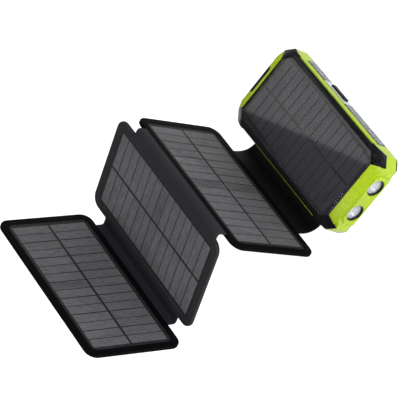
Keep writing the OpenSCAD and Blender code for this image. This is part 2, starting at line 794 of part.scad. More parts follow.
module panel_laminate(n) color([0.5, 0.5, 0.55, 0.4]) on_panel(n)
    translate([0, 0, laminate_z]) linear_extrude(laminate_top - laminate_z)
        round_rect(panel_len - 2 * border - fit, panel_w - 2 * border - fit, window_r);

module panel_front(n) color(leather) on_panel(n) {
    translate([0, 0, panel_board_z]) linear_extrude(panel_board_t) difference() {
        round_rect(panel_len, panel_w, panel_r);
        round_rect(panel_len - 2 * border + 2 * lip + fit, panel_w - 2 * border + 2 * lip + fit,
            window_r);
    }
    translate([0, 0, panel_cell_z]) linear_extrude(panel_t / 2 - panel_cell_z) difference() {
        round_rect(panel_len, panel_w, panel_r);
        round_rect(panel_len - 2 * border, panel_w - 2 * border, window_r);
    }
}

back_cover();
mid_frame();
top_bezel();
top_solar_board();
top_solar_cells();
top_laminate();
lamp_rings();
lamp_reflectors();
lamp_leds();
lamp_boards();
lamp_lenses();
side_trim();
trim_screws();
button_plate();
power_button();
light_pipes();
button_board();
tact_switch();
port_fascia();
usb_shells();
usb_tongues();
micro_usb_socket();
port_cover();
main_board();
power_coils();
battery_cells();
foam_pads();
case_screws();
spine_tab();
spine_leather();
spine_ribbon();
strip_1_2();
strip_2_3();
panel_back(1);  // panel_1_back
panel_stiffener(1);  // panel_1_stiffener
panel_board(1);  // panel_1_board
panel_cells(1);  // panel_1_cells
panel_laminate(1);  // panel_1_laminate
panel_front(1);  // panel_1_front
panel_back(2);  // panel_2_back
panel_stiffener(2);  // panel_2_stiffener
panel_board(2);  // panel_2_board
panel_cells(2);  // panel_2_cells
panel_laminate(2);  // panel_2_laminate
panel_front(2);  // panel_2_front
panel_back(3);  // panel_3_back
panel_stiffener(3);  // panel_3_stiffener
panel_board(3);  // panel_3_board
panel_cells(3);  // panel_3_cells
panel_laminate(3);  // panel_3_laminate
panel_front(3);  // panel_3_front
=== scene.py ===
"""Looks of a fold-out solar power bank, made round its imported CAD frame.

A green and black power bank with a solar top lies flat, and three leather-bound solar panels
fold out of it on leather strips. Lengths are in metres, in the frame's own axes: +Z out of the
solar top, +X to the flashlights, +Y to the silver side strip, and the panels lead away to -Y.
"""
import logging
import math
from contextlib import contextmanager
from dataclasses import dataclass
from enum import Enum
from typing import Callable, Iterator, Optional, Sequence

import bmesh
import bpy
from mathutils import Matrix, Vector


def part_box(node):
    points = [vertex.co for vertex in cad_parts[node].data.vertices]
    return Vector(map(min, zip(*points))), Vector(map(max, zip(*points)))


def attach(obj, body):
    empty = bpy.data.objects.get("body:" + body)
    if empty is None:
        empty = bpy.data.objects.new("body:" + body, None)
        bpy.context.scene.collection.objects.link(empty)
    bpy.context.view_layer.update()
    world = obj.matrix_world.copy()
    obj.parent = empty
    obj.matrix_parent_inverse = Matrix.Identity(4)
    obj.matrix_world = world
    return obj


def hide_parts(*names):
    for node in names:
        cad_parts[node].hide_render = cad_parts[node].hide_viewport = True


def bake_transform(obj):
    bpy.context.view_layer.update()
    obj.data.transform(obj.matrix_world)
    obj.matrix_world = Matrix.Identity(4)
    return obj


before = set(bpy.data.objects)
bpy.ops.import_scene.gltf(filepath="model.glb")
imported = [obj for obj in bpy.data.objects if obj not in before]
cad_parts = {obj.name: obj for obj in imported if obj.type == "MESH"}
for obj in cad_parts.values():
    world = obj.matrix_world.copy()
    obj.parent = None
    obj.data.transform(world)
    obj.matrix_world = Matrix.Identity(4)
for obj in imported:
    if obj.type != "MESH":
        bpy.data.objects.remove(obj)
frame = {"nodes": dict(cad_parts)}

LOG = logging.getLogger("solar_power_bank")
MM = 0.001
WELD = MM / 1000  # points nearer than this are one point
FLAT = math.radians(0.4)  # neighbouring faces that turn less than this are one face
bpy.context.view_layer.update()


def linear(code: str) -> tuple[float, float, float, float]:
    """Turns a display colour into the linear colour that a shader socket takes.

    Args:
        code: The colour as "#rrggbb".

    Returns:
        Red, green, blue and an alpha of 1.
    """
    parts = [int(code[i:i + 2], 16) / 255 for i in (1, 3, 5)]
    curve = [p / 12.92 if p <= 0.04045 else ((p + 0.055) / 1.055) ** 2.4 for p in parts]
    return (curve[0], curve[1], curve[2], 1.0)


# ---------------------------------------------------------------- modelling moves


class Part(Enum):
    """Which elements of a mesh are picked."""

    VERTS = "VERT"
    EDGES = "EDGE"
    FACES = "FACE"


class Bench:
    """Everyday modelling moves, each made with Blender's own operators."""

    @staticmethod
    def clear() -> None:
        """Leaves edit mode and deselects every object."""
        if bpy.context.object is not None and bpy.context.object.mode != "OBJECT":
            bpy.ops.object.mode_set(mode="OBJECT")
        bpy.ops.object.select_all(action="DESELECT")

    @staticmethod
    def hold(piece: bpy.types.Object) -> None:
        """Makes one piece the only selected object and the active one."""
        Bench.clear()
        piece.select_set(True)
        bpy.context.view_layer.objects.active = piece

    @staticmethod
    @contextmanager
    def edit(piece: bpy.types.Object, part: Part = Part.VERTS) -> Iterator[None]:
        """Opens a piece in edit mode with all of it selected, and closes it again.

        Args:
            piece: The piece.
            part: What is selected in it: vertices, edges or faces.
        """
        Bench.hold(piece)
        bpy.ops.object.mode_set(mode="EDIT")
        bpy.ops.mesh.select_mode(type=part.value)
        bpy.ops.mesh.select_all(action="SELECT")
        yield
        bpy.ops.object.mode_set(mode="OBJECT")

    @staticmethod
    def pick(piece: bpy.types.Object, part: Part, test: Callable[[object], bool]) -> int:
        """Selects the elements of a piece in edit mode that pass a test.

        Args:
            piece: The piece that is open in edit mode.
            part: Vertices, edges or faces.
            test: Says of a bmesh element whether it is wanted.

        Returns:
            How many were picked.
        """
        bpy.ops.mesh.select_mode(type=part.value)
        bpy.ops.mesh.select_all(action="DESELECT")
        mesh = bmesh.from_edit_mesh(piece.data)
        items = {Part.VERTS: mesh.verts, Part.EDGES: mesh.edges, Part.FACES: mesh.faces}[part]
        items.ensure_lookup_table()
        found = [item for item in items if test(item)]
        for item in found:
            item.select_set(True)
        mesh.select_flush_mode()
        bmesh.update_edit_mesh(piece.data)
        return len(found)

    @staticmethod
    def named(name: str) -> bpy.types.Object:
        """Names the primitive that was just added, with its size and place in its mesh."""
        piece = bpy.context.object
        piece.name = piece.data.name = name
        bpy.ops.object.transform_apply(location=True, rotation=True, scale=True)
        return piece

    @staticmethod
    def joined(into: bpy.types.Object, *others: bpy.types.Object) -> None:
        """Joins other pieces into one."""
        Bench.hold(into)
        for other in others:
            other.select_set(True)
        bpy.ops.object.join()

    @staticmethod
    def block(name: str, low: Vector, high: Vector) -> bpy.types.Object:
        """Adds a block between two corners, as the start of a piece.

        Args:
            name: Name of the piece.
            low: Its lowest corner.
            high: Its highest corner.

        Returns:
            The block.
        """
        Bench.clear()
        bpy.ops.mesh.primitive_cube_add(size=1, location=(low + high) / 2)
        bpy.context.object.scale = high - low
        return Bench.named(name)

    @staticmethod
    def spun(name: str, profile: Sequence[tuple[float, float]], centre: Vector,
             steps: int = 48) -> bpy.types.Object:
        """Turns a profile round an axis along X.

        Args:
            name: Name of the piece.
            profile: Points as (distance along X, radius), as a closed outline or from axis to axis.
            centre: The point that the profile is measured from.
            steps: Steps in the whole turn.

        Returns:
            The finished form.
        """
        Bench.clear()
        start = centre + Vector((profile[0][0], profile[0][1], 0))
        bpy.ops.mesh.primitive_plane_add(size=MM, location=start)
        piece = Bench.named(name)
        with Bench.edit(piece):
            bpy.ops.mesh.merge(type="CENTER")
            for before, after in zip(profile, profile[1:]):
                move = (after[0] - before[0], after[1] - before[1], 0)
                bpy.ops.mesh.extrude_region_move(TRANSFORM_OT_translate={"value": move})
            if profile[0][1] > 0 and profile[-1][1] > 0:
                last = len(profile) - 1
                Bench.pick(piece, Part.VERTS, lambda v: v.index in (0, last))
                bpy.ops.mesh.edge_face_add()
            bpy.ops.mesh.select_all(action="SELECT")
            bpy.ops.mesh.spin(steps=steps, angle=math.tau, center=centre, axis=(1, 0, 0))
            bpy.ops.mesh.select_all(action="SELECT")
            bpy.ops.mesh.remove_doubles(threshold=WELD)
            bpy.ops.mesh.normals_make_consistent(inside=False)
        return piece

    @staticmethod
    def modify(piece: bpy.types.Object, kind: str, **values: object) -> None:
        """Adds a modifier to a piece, sets it and applies it.

        Args:
            piece: The piece that it changes.
            kind: The modifier's type.
            **values: Its settings.
        """
        Bench.hold(piece)
        modifier = piece.modifiers.new(kind.lower(), kind)
        for key, value in values.items():
            setattr(modifier, key, value)
        bpy.ops.object.modifier_apply(modifier=modifier.name)

    @staticmethod
    def soften(piece: bpy.types.Object, width: float, steps: int = 2, angle: float = 30) -> None:
        """Rounds the sharp edges of a piece and shades it smooth.

        Args:
            piece: The piece.
            width: How much of each face the rounding takes.
            steps: Steps in each round.
            angle: Edges that turn by more than this, in degrees, are rounded.
        """
        Bench.modify(piece, "BEVEL", width=width, segments=steps, limit_method="ANGLE",
                     angle_limit=math.radians(angle), use_clamp_overlap=True)
        Bench.smooth(piece, angle)

    @staticmethod
    def smooth(piece: bpy.types.Object, angle: float = 30) -> None:
        """Shades a piece smooth, apart from edges that are sharper than an angle in degrees."""
        Bench.hold(piece)
        bpy.ops.object.shade_smooth_by_angle(angle=math.radians(angle))

    @staticmethod
    def copy_of(node: str, name: str) -> bpy.types.Object:
        """Copies a CAD node's mesh and merges it into whole faces, ready to be shaped.

        Args:
            node: Name of the CAD node.
            name: Name of the new piece.

        Returns:
            The copy, which stands for the node from now on.
        """
        piece = bpy.data.objects.new(name, frame["nodes"][node].data.copy())
        bpy.context.scene.collection.objects.link(piece)
        piece.data.name = name
        piece.data.materials.clear()
        with Bench.edit(piece, Part.FACES):
            bpy.ops.mesh.customdata_custom_splitnormals_clear()
            bpy.ops.mesh.remove_doubles(threshold=WELD)
            bpy.ops.mesh.dissolve_limited(angle_limit=FLAT)
        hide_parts(node)
        return piece


# ---------------------------------------------------------------- shader node groups


class Tree:
    """A node tree that is being wired."""

    def __init__(self, tree: bpy.types.NodeTree) -> None:
        """Takes the tree that new nodes go into."""
        self.tree = tree

    def add(self, kind: str, **settings: object) -> bpy.types.Node:
        """Adds a node and sets it.

        Args:
            kind: The node's type.
            **settings: Its properties, and its inputs where a setting names one.

        Returns:
            The node.
        """
        node = self.tree.nodes.new(kind)
        for key, value in settings.items():
            if hasattr(node, key):
                setattr(node, key, value)
            else:
                node.inputs[key.replace("_", " ")].default_value = value
        return node

    def link(self, source: bpy.types.NodeSocket, target: bpy.types.NodeSocket) -> None:
        """Wires an output to an input."""
        self.tree.links.new(source, target)

    def maths(self, operation: str, first: object, second: object = 0.0) -> bpy.types.NodeSocket:
        """Adds a Math node.

        Args:
            operation: What it works out.
            first: The first value, or a socket that gives it.
            second: The second one.

        Returns:
            The socket with the result.
        """
        node = self.add("ShaderNodeMath", operation=operation)
        for value, target in zip((first, second), node.inputs):
            if isinstance(value, bpy.types.NodeSocket):
                self.link(value, target)
            else:
                target.default_value = value
        return node.outputs[0]

    def span(self, value: bpy.types.NodeSocket, low: float, high: float) -> bpy.types.NodeSocket:
        """Stretches a part of a value to 0 to 1.

        Args:
            value: The socket that gives the value.
            low: What becomes 0, with all below it.
            high: What becomes 1, with all above it.

        Returns:
            The socket with the stretched value.
        """
        node = self.add("ShaderNodeMapRange", clamp=True)
        self.link(value, node.inputs["Value"])
        node.inputs["From Min"].default_value = low
        node.inputs["From Max"].default_value = high
        return node.outputs["Result"]

    def blend(self, share: bpy.types.NodeSocket, first: object, second: object
              ) -> bpy.types.NodeSocket:
        """Mixes two colours.

        Args:
            share: How much of the second one is in the mix, from 0 to 1.
            first: A colour, or a socket that gives one.
            second: The other one.

        Returns:
            The socket with the mixed colour.
        """
        node = self.add("ShaderNodeMix", data_type="RGBA")
        self.link(share, node.inputs["Factor"])
        for value, target in ((first, node.inputs["A"]), (second, node.inputs["B"])):
            colours = [s for s in node.inputs if s.type == "RGBA" and s.name == target.name]
            if isinstance(value, bpy.types.NodeSocket):
                self.link(value, colours[0])
            else:
                colours[0].default_value = value
        return next(s for s in node.outputs if s.type == "RGBA")


class Effects:
    """Shader node groups that several finishes share, each built once."""

    _made: dict[str, bpy.types.NodeTree] = {}

    @classmethod
    def get(cls, name: str) -> bpy.types.NodeTree:
        """Finds a group, and builds it at its first use.

        Args:
            name: Name of the group, which the method that builds it has after an underscore.

        Returns:
            The group.
        """
        if name not in cls._made:
            cls._made[name] = getattr(cls, f"_{name}")(name)
        return cls._made[name]

    @staticmethod
    def _group(name: str, inputs: Sequence[tuple[str, str, object]],
               outputs: Sequence[tuple[str, str]]
               ) -> tuple[Tree, bpy.types.NodeOutputs, bpy.types.NodeInputs, bpy.types.NodeTree]:
        """Starts a group with named inputs and outputs.

        Args:
            name: Name of the group.
            inputs: Name, kind and default of each input.
            outputs: Name and kind of each output.

        Returns:
            The tree to wire, the group's inputs and outputs as sockets, and the group.
        """
        group = bpy.data.node_groups.new(name, "ShaderNodeTree")
        for label, kind, default in inputs:
            socket = group.interface.new_socket(label, in_out="INPUT",
                                                socket_type=f"NodeSocket{kind}")
            if default is not None:
                socket.default_value = default
        for label, kind in outputs:
            group.interface.new_socket(label, in_out="OUTPUT", socket_type=f"NodeSocket{kind}")
        tree = Tree(group)
        return tree, tree.add("NodeGroupInput").outputs, tree.add("NodeGroupOutput").inputs, group

    @staticmethod
    def _rubbed_and_lit_edges(name: str) -> bpy.types.NodeTree:
        """Convex edges lightened unevenly, partly as rubbing and partly as a painted highlight
        where light catches them.

        Args:
            name: Name of the group.

        Returns:
            The group.
        """
        tree, given, out, group = Effects._group(
            name, [("Vector", "Vector", None), ("Colour", "Color", None), ("Rubbed and lit", "Color", None),
                   ("Amount", "Float", 0.3)], [("Colour", "Color"), ("Mask", "Float")])
        edges = tree.span(tree.add("ShaderNodeNewGeometry").outputs["Pointiness"], 0.505, 0.58)
        noise = tree.add("ShaderNodeTexNoise", Scale=420.0, Detail=4.0)
        tree.link(given["Vector"], noise.inputs["Vector"])
        uneven = tree.span(noise.outputs["Fac"], 0.35, 0.7)
        mask = tree.maths("MULTIPLY", tree.maths("MULTIPLY", edges, uneven), given["Amount"])
        tree.link(tree.blend(mask, given["Colour"], given["Rubbed and lit"]), out["Colour"])
        tree.link(mask, out["Mask"])
        return group

    @staticmethod
    def _stain(name: str) -> bpy.types.NodeTree:
        """Slow, faint drifts of tone over a surface.

        Args:
            name: Name of the group.

        Returns:
            The group.
        """
        tree, given, out, group = Effects._group(
            name, [("Vector", "Vector", None), ("Colour", "Color", None), ("Other", "Color", None),
                   ("Scale", "Float", 40.0), ("Amount", "Float", 0.3)],
            [("Colour", "Color"), ("Mask", "Float")])
        noise = tree.add("ShaderNodeTexNoise", Detail=3.0, Roughness=0.6)
        tree.link(given["Vector"], noise.inputs["Vector"])
        tree.link(given["Scale"], noise.inputs["Scale"])
        mask = tree.maths("MULTIPLY", tree.span(noise.outputs["Fac"], 0.3, 0.72), given["Amount"])
        tree.link(tree.blend(mask, given["Colour"], given["Other"]), out["Colour"])
        tree.link(mask, out["Mask"])
        return group

    @staticmethod
    def _dust(name: str) -> bpy.types.NodeTree:
        """Fine pale specks, thickest on what faces up.

        Args:
            name: Name of the group.

        Returns:
            The group.
        """
        tree, given, out, group = Effects._group(
            name, [("Vector", "Vector", None), ("Colour", "Color", None), ("Amount", "Float", 0.1)],
            [("Colour", "Color"), ("Mask", "Float")])
        specks = tree.add("ShaderNodeTexNoise", Scale=1500.0, Detail=2.0)
        drifts = tree.add("ShaderNodeTexNoise", Scale=35.0, Detail=2.0)
        for noise in (specks, drifts):
            tree.link(given["Vector"], noise.inputs["Vector"])
        facing = tree.add("ShaderNodeSeparateXYZ")
        tree.link(tree.add("ShaderNodeNewGeometry").outputs["Normal"], facing.inputs[0])
        up = tree.span(facing.outputs["Z"], -0.4, 1.0)
        spots = tree.maths("MULTIPLY", tree.span(specks.outputs["Fac"], 0.6, 0.74),
                           tree.span(drifts.outputs["Fac"], 0.3, 0.7))
        mask = tree.maths("MULTIPLY", tree.maths("MULTIPLY", spots, up), given["Amount"])
        tree.link(tree.blend(mask, given["Colour"], linear("#b9b6ae")), out["Colour"])
        tree.link(mask, out["Mask"])
        return group

    @staticmethod
    def _leather_grain(name: str) -> bpy.types.NodeTree:
        """Small pebbles of a pressed leather, with finer creases on them.

        Args:
            name: Name of the group.

        Returns:
            The group.
        """
        tree, given, out, group = Effects._group(
            name, [("Vector", "Vector", None), ("Scale", "Float", 1400.0)], [("Height", "Float")])
        pebbles = tree.add("ShaderNodeTexVoronoi", feature="SMOOTH_F1", Smoothness=0.35)
        creases = tree.add("ShaderNodeTexNoise", Detail=5.0, Roughness=0.6)
        for texture in (pebbles, creases):
            tree.link(given["Vector"], texture.inputs["Vector"])
            tree.link(given["Scale"], texture.inputs["Scale"])
        height = tree.maths("SUBTRACT", 1.0, pebbles.outputs["Distance"])
        total = tree.maths("ADD", height, tree.maths("MULTIPLY", creases.outputs["Fac"], 0.35))
        tree.link(total, out["Height"])
        return group

    @staticmethod
    def _moulded_grain(name: str) -> bpy.types.NodeTree:
        """Fine spark-eroded texture of a moulded plastic.

        Args:
            name: Name of the group.

        Returns:
            The group.
        """
        tree, given, out, group = Effects._group(
            name, [("Vector", "Vector", None), ("Scale", "Float", 3000.0)], [("Height", "Float")])
        noise = tree.add("ShaderNodeTexNoise", Detail=3.0, Roughness=0.55)
        tree.link(given["Vector"], noise.inputs["Vector"])
        tree.link(given["Scale"], noise.inputs["Scale"])
        tree.link(noise.outputs["Fac"], out["Height"])
        return group

    @staticmethod
    def _threads(name: str) -> bpy.types.NodeTree:
        """Fine lines across the length of a panel, broken here and there, as on solar cells.

        Args:
            name: Name of the group.

        Returns:
            The group.
        """
        tree, given, out, group = Effects._group(
            name, [("Vector", "Vector", None), ("Scale", "Float", 260.0)],
            [("Height", "Float"), ("Mask", "Float")])
        lines = tree.add("ShaderNodeTexWave", wave_type="BANDS", bands_direction="X",
                         Distortion=0.6, Detail=1.0)
        stretched = tree.add("ShaderNodeMapping")
        stretched.inputs["Scale"].default_value = (1900.0, 150.0, 150.0)
        fibres = tree.add("ShaderNodeTexNoise", Scale=1.0, Detail=3.0, Roughness=0.7)
        tree.link(given["Vector"], lines.inputs["Vector"])
        tree.link(given["Scale"], lines.inputs["Scale"])
        tree.link(given["Vector"], stretched.inputs["Vector"])
        tree.link(stretched.outputs["Vector"], fibres.inputs["Vector"])
        broken = tree.span(fibres.outputs["Fac"], 0.3, 0.7)
        both = tree.maths("ADD", tree.maths("MULTIPLY", lines.outputs["Fac"], 0.45),
                          tree.maths("MULTIPLY", broken, 0.55))
        tree.link(both, out["Height"])
        tree.link(both, out["Mask"])
        return group


# ---------------------------------------------------------------- finishes


class Grain(Enum):
    """The small relief of a surface, as the name of its node group."""

    LEATHER = "leather_grain"
    MOULDED = "moulded_grain"
    THREADS = "threads"


@dataclass(frozen=True)
class Finish:
    """One material of the power bank: its colours, its gloss and its relief."""

    name: str
    colour: str
    other: str
    # The paler tone: convex edges turn to it as rubbing and as a painted highlight, and cell
    # threads and islands drift to it.
    pale_tone: str
    roughness: float = 0.5
    roughness_spread: float = 0.16
    metallic: float = 0.0
    specular: float = 0.5
    coat: float = 0.0
    coat_roughness: float = 0.05
    alpha: float = 1.0
    glow: float = 0.0
    grain: Grain = Grain.MOULDED
    grain_scale: float = 3000.0
    grain_depth: float = 0.00002
    stain_scale: float = 40.0
    stain: float = 0.5
    # How much the convex edges are paled, as rubbing and painted highlight.
    wear_and_highlight: float = 0.25
    dust: float = 0.05
    island_tone: float = 0.0
    thread_tone: float = 0.0
    # Painted shade: faces deeper than a given depth take this dark colour, which darkens the
    # hollows between ribs where shade falls.
    painted_recess_shade: Optional[str] = None
    painted_shade_depths: tuple[float, float] = (0.0, 1.0)

    def material(self) -> bpy.types.Material:
        """Builds the material, unless it is already built.

        Returns:
            The material.
        """
        label = f"{self.name}_finish"
        found = bpy.data.materials.get(label)
        if found is not None:
            return found
        material = bpy.data.materials.new(label)
        material.use_nodes = True
        tree = Tree(material.node_tree)
        shader = material.node_tree.nodes["Principled BSDF"]
        place = tree.add("ShaderNodeTexCoord").outputs["Object"]
        grain = self._effect(tree, self.grain.value, place, Scale=self.grain_scale)
        colour = self._colour(tree, place, grain)
        tree.link(colour, shader.inputs["Base Color"])
        rough = self._effect(tree, "moulded_grain", place, Scale=self.stain_scale * 6)
        uneven = tree.maths("MULTIPLY_ADD", rough.outputs["Height"], self.roughness_spread)
        uneven.node.inputs[2].default_value = self.roughness - self.roughness_spread / 2
        tree.link(uneven, shader.inputs["Roughness"])
        bump = tree.add("ShaderNodeBump", Strength=1.0, Distance=self.grain_depth)
        tree.link(grain.outputs["Height"], bump.inputs["Height"])
        tree.link(bump.outputs["Normal"], shader.inputs["Normal"])
        for socket, value in (("Metallic", self.metallic), ("Specular IOR Level", self.specular),
                              ("Coat Weight", self.coat), ("Coat Roughness", self.coat_roughness),
                              ("Alpha", self.alpha), ("Emission Strength", self.glow)):
            shader.inputs[socket].default_value = value
        shader.inputs["Emission Color"].default_value = linear(self.colour)
        return material

    @staticmethod
    def _effect(tree: Tree, name: str, place: bpy.types.NodeSocket, **values: float
                ) -> bpy.types.Node:
        """Places a shared effect in a material.

        Args:
            tree: The material's tree.
            name: Name of the effect's group.
            place: Object coordinates.
            **values: The effect's own inputs.

        Returns:
            The node.
        """
        node = tree.add("ShaderNodeGroup", node_tree=Effects.get(name))
        tree.link(place, node.inputs["Vector"])
        for key, value in values.items():
            node.inputs[key].default_value = value
        return node

    def _colour(self, tree: Tree, place: bpy.types.NodeSocket, grain: bpy.types.Node
                ) -> bpy.types.NodeSocket:
        """Wires the colour: the base, its drifts, threads, painted shade in the trim's hollows,
        edges paled by rubbing and by painted highlight, and dust.

        Args:
            tree: The material's tree.
            place: Object coordinates.
            grain: The node that makes the relief.

        Returns:
            The socket with the finished colour.
        """
        stain = self._effect(tree, "stain", place, Scale=self.stain_scale, Amount=self.stain)
        stain.inputs["Colour"].default_value = linear(self.colour)
        stain.inputs["Other"].default_value = linear(self.other)
        colour = stain.outputs["Colour"]
        if self.island_tone > 0:
            island = tree.add("ShaderNodeNewGeometry").outputs["Random Per Island"]
            share = tree.maths("MULTIPLY", island, self.island_tone)
            colour = tree.blend(share, colour, linear(self.pale_tone))
        if self.thread_tone > 0:
            share = tree.maths("MULTIPLY", grain.outputs["Mask"], self.thread_tone)
            colour = tree.blend(share, colour, linear(self.pale_tone))
        # Painted shade in the hollows between the ribs: faces below the depth span take the dark
        # colour.
        if self.painted_recess_shade is not None:
            depth = tree.add("ShaderNodeSeparateXYZ")
            tree.link(place, depth.inputs[0])
            low, high = self.painted_shade_depths
            share = tree.span(depth.outputs["Y"], low, high)
            colour = tree.blend(share, linear(self.painted_recess_shade), colour)
        # Convex edges turn paler: rubbing, and a painted highlight along them.
        wear_and_highlight = self._effect(tree, "rubbed_and_lit_edges", place, Amount=self.wear_and_highlight)
        wear_and_highlight.inputs["Rubbed and lit"].default_value = linear(self.pale_tone)
        tree.link(colour, wear_and_highlight.inputs["Colour"])
        dust = self._effect(tree, "dust", place, Amount=self.dust)
        tree.link(wear_and_highlight.outputs["Colour"], dust.inputs["Colour"])
        return dust.outputs["Colour"]

    def on(self, *pieces: bpy.types.Object) -> None:
        """Gives the finish to pieces, or to CAD nodes as they are."""
        for piece in pieces:
            piece.data.materials.clear()
            piece.data.materials.append(self.material())


# The green's pale edge tone is a painted highlight as well as rubbing.
GREEN = Finish("green_plastic", "#a6c20c", "#9ab608", "#d0e448", roughness=0.4, specular=0.35,
               wear_and_highlight=0.5, stain=0.6, grain_depth=0.000012)
BLACK = Finish("black_plastic", "#08080a", "#0d0d10", "#3c3d42", roughness=0.3, specular=0.22,
               wear_and_highlight=0.4, grain_depth=0.000015, dust=0.0)
BACK = Finish("black_back", "#101013", "#17171b", "#45464b", roughness=0.5, specular=0.3,
              wear_and_highlight=0.5, grain_depth=0.00005, grain_scale=2200.0)
RUBBER = Finish("black_rubber", "#0a0a0c", "#121215", "#34343a", roughness=0.6, specular=0.2,
                grain_depth=0.00003, wear_and_highlight=0.4, dust=0.1)
# The trim's hollows between ribs are painted dark, as painted shade.
TRIM = Finish("silver_trim", "#8c8e98", "#7e808a", "#d2d4da", roughness=0.4, metallic=0.4,
              wear_and_highlight=0.7, grain_scale=1800.0, painted_recess_shade="#0c0c10", painted_shade_depths=(0.03785, 0.03835))
PLATE = Finish("silver_plate", "#c8ccca", "#b8bcba", "#e8eaea", roughness=0.36, metallic=0.4)
RING = Finish("lamp_ring", "#08080a", "#0e0e11", "#4a4b50", roughness=0.25, specular=0.4, dust=0.02)
MIRROR = Finish("reflector", "#d4d5da", "#c6c8ce", "#ffffff", roughness=0.14, metallic=1.0,
                stain=0.3, dust=0.0, grain_depth=0.000004)
# The LED glows to make a painted highlight in the middle of each lamp, seen through the lens.
LED = Finish("led", "#fff8e4", "#ffefc0", "#ffffff", roughness=0.3, glow=9.0, dust=0.0)
LENS = Finish("lamp_lens", "#d6d8e0", "#c8cad2", "#ffffff", roughness=0.12, alpha=0.5, coat=1.0,
              coat_roughness=0.04, dust=0.0, grain_depth=0.000002)
TOP_CELL = Finish("solar_cell_top", "#26272b", "#222327", "#55565c", roughness=0.5, specular=0.2,
                  coat=1.0, coat_roughness=0.03, grain=Grain.THREADS, grain_depth=0.0,
                  grain_scale=260.0, island_tone=0.1, thread_tone=0.16, wear_and_highlight=0.0, dust=0.02)
PANEL_CELL = Finish("solar_cell_panel", "#232325", "#1f1f21", "#a8a8ac", roughness=0.6,
                    specular=0.15, grain=Grain.THREADS, grain_depth=0.00002, grain_scale=260.0,
                    island_tone=0.08, thread_tone=0.55, wear_and_highlight=0.0, dust=0.05)
TOP_BACKING = Finish("cell_backing_top", "#060607", "#09090b", "#1c1c20", roughness=0.5,
                     specular=0.2, coat=1.0, coat_roughness=0.03, dust=0.02)
BACKING = Finish("cell_backing", "#08080a", "#0c0c0e", "#202024", roughness=0.6, specular=0.15,
                 dust=0.03)
TOP_LAMINATE = Finish("laminate_top", "#5c5d64", "#54555c", "#d0d2d8", roughness=0.05,
                      specular=0.6, alpha=0.06, wear_and_highlight=0.0, dust=0.0, grain_depth=0.0)
LAMINATE = Finish("laminate_panel", "#6a6a6d", "#626266", "#b0b0b4", roughness=0.62,
                  specular=0.3, alpha=0.07, grain=Grain.THREADS, grain_depth=0.00002,
                  grain_scale=260.0, wear_and_highlight=0.0, dust=0.05)
LEATHER = Finish("black_leather", "#08080a", "#0c0c0f", "#1c1c20", roughness=0.62, specular=0.02,
                 grain=Grain.LEATHER, grain_scale=1500.0, grain_depth=0.00006, wear_and_highlight=0.3,
                 dust=0.02)
# The same black leather painted lighter grey: painted light, standing for the light that falls on
# panel 2, which faces up, and on the strip between panels 1 and 2.
LEATHER_PAINTED_LIT = Finish("leather_painted_lit", "#2e2e31", "#343438", "#4a4a50", roughness=0.62,
                      specular=0.02, grain=Grain.LEATHER, grain_scale=1500.0,
                      grain_depth=0.00006, wear_and_highlight=0.3, dust=0.02)
STRAP = Finish("strap_leather", "#27262c", "#2b2a30", "#3c3c44", roughness=0.62, specular=0.02,
               grain=Grain.LEATHER, grain_scale=1500.0, grain_depth=0.00005, wear_and_highlight=0.2, dust=0.02)
SPINE = Finish("spine_leather", "#131318", "#17171c", "#2a2a30", roughness=0.55, specular=0.08,
               grain=Grain.LEATHER, grain_scale=1500.0, grain_depth=0.00005, wear_and_highlight=0.2, dust=0.02)
BOARD = Finish("circuit_board", "#1c4a2a", "#173f23", "#6f8f5c", roughness=0.35, coat=0.4)
STEEL = Finish("screw_steel", "#b4b6bc", "#a0a2a8", "#e8eaee", roughness=0.25, metallic=0.9)
SOCKET = Finish("socket_steel", "#b4b6ba", "#a2a4a9", "#e6e8ea", roughness=0.24, metallic=1.0)
TONGUE = Finish("socket_plastic", "#173f86", "#12336f", "#4a74b8", roughness=0.45)
COIL = Finish("coil", "#2f2f33", "#3a3a3f", "#66666c", roughness=0.6)
POUCH = Finish("pouch_cell", "#9aa0a8", "#888e96", "#d5d9de", roughness=0.34, metallic=0.8,
               stain_scale=90.0)
FOAM = Finish("foam", "#4c4c50", "#404044", "#77777c", roughness=0.9, grain_depth=0.0001,
              grain_scale=1200.0)
STIFF = Finish("stiffener", "#b5a583", "#a49473", "#d8cbae", roughness=0.75, stain_scale=120.0)


# ---------------------------------------------------------------- where the panels are


@dataclass(frozen=True)
class PanelPlace:
    """Where one folded-out panel is, measured on its CAD nodes."""

    body: str
    centre: Vector
    rise: float
    length: float
    width: float
    thickness: float

    @classmethod
    def of(cls, body: str) -> "PanelPlace":
        """Measures a panel.

        Args:
            body: The body's name, which also starts its nodes' names.

        Returns:
            The panel's place, with its rise as the angle in radians at which it leads away.
        """
        flat = [v.co for v in frame["nodes"][f"{body}_board"].data.vertices]
        middle = sum(flat, Vector()) / len(flat)
        spread_y = sum((p.y - middle.y) ** 2 for p in flat)
        spread_z = sum((p.z - middle.z) ** 2 for p in flat)
        both = sum((p.y - middle.y) * (p.z - middle.z) for p in flat)
        rise = -0.5 * math.atan2(2 * both, spread_y - spread_z)
        shell = [v.co for part in ("back", "front")
                 for v in frame["nodes"][f"{body}_{part}"].data.vertices]
        turned = [Matrix.Rotation(rise, 3, "X") @ p for p in shell]
        low = Vector([min(p[i] for p in turned) for i in range(3)])
        high = Vector([max(p[i] for p in turned) for i in range(3)])
        centre = Matrix.Rotation(-rise, 3, "X") @ ((low + high) / 2)
        return cls(body, centre, rise, *(high - low))

    @property
    def matrix(self) -> Matrix:
        """Takes a piece drawn flat, leading to -Y round the origin, to its place."""
        return Matrix.Translation(self.centre) @ Matrix.Rotation(-self.rise, 4, "X")

    def point(self, along: float, above: float = 0.0) -> Vector:
        """A point on the panel's middle line, by its distance along and above the panel."""
        return self.matrix @ Vector((0, -along, above))

    @property
    def lead(self) -> Vector:
        """The direction in which the panel leads away from the power bank."""
        return Vector((0, -math.cos(self.rise), math.sin(self.rise)))


# ---------------------------------------------------------------- leather


